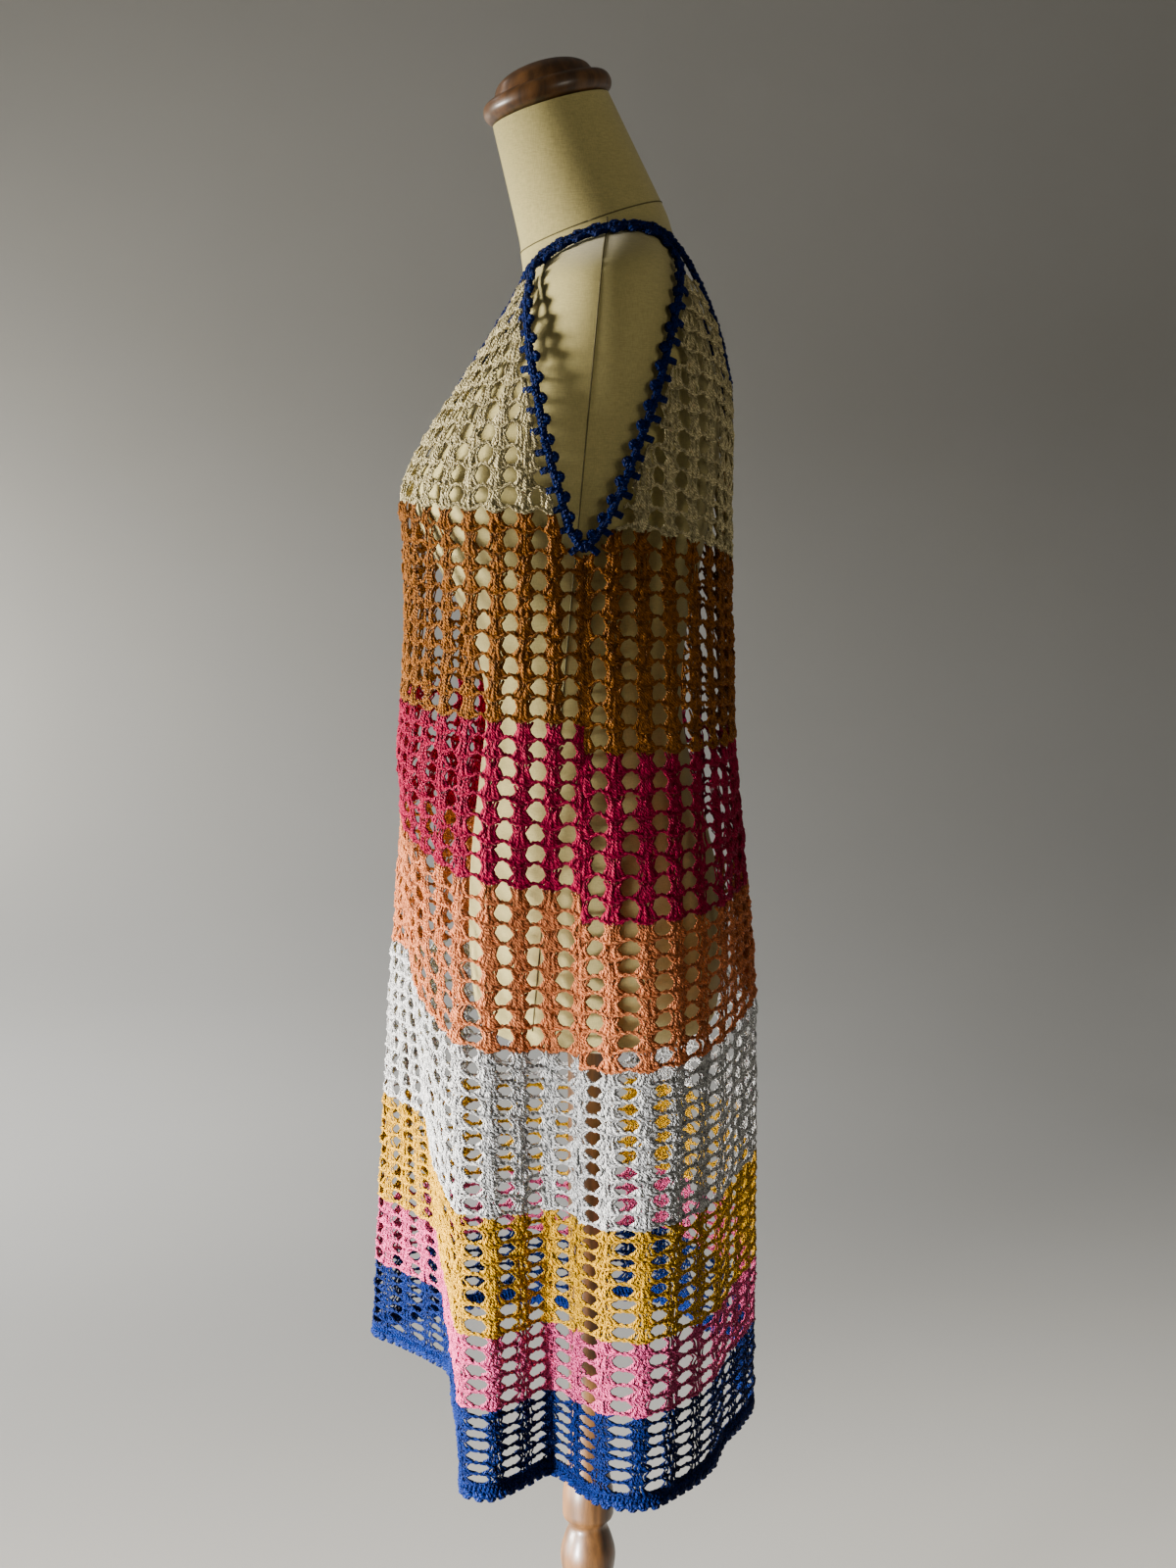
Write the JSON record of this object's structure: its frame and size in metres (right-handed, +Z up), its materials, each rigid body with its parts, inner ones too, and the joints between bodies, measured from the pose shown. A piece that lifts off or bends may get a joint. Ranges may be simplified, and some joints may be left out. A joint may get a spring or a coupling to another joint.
{
  "type": "crochet mini dress on dress form",
  "caption": "Sleeveless crochet mini dress, A-line with a V neck, striped in broad colour bands, worn on a linen dress form with a turned wooden stand.",
  "frame": {"origin": "centre of the base's underside, on the floor", "axes": "+Z up, the dress's front faces -Y, the wearer's left side is +X"},
  "size_m": [0.4351, 0.3972, 1.599],
  "materials": {
    "ecru_yarn": "plied cotton yarn, soft sheen",
    "tan_yarn": "plied cotton yarn, soft sheen",
    "magenta_yarn": "plied cotton yarn, soft sheen",
    "peach_yarn": "plied cotton yarn, soft sheen",
    "white_yarn": "plied cotton yarn, soft sheen",
    "yellow_yarn": "plied cotton yarn, soft sheen",
    "pink_yarn": "plied cotton yarn, soft sheen",
    "blue_yarn": "plied cotton yarn, soft sheen",
    "linen": "matt woven linen",
    "wood": "glossy varnish"
  },
  "bodies": {
    "root": {"front_ecru": "ecru_yarn", "front_tan": "tan_yarn", "front_magenta": "magenta_yarn", "front_peach": "peach_yarn", "front_white": "white_yarn", "front_yellow": "yellow_yarn", "front_pink": "pink_yarn", "front_blue": "blue_yarn", "back_ecru": "ecru_yarn", "back_tan": "tan_yarn", "back_magenta": "magenta_yarn", "back_peach": "peach_yarn", "back_white": "white_yarn", "back_yellow": "yellow_yarn", "back_pink": "pink_yarn", "back_blue": "blue_yarn", "hem_edging_front": "blue_yarn", "hem_edging_back": "blue_yarn", "neck_edging": "blue_yarn", "armhole_edging_left": "blue_yarn", "armhole_edging_right": "blue_yarn", "form_torso": "linen", "neck_cap": "wood", "pole": "wood", "base_disc": "wood"}
  },
  "joints": []
}
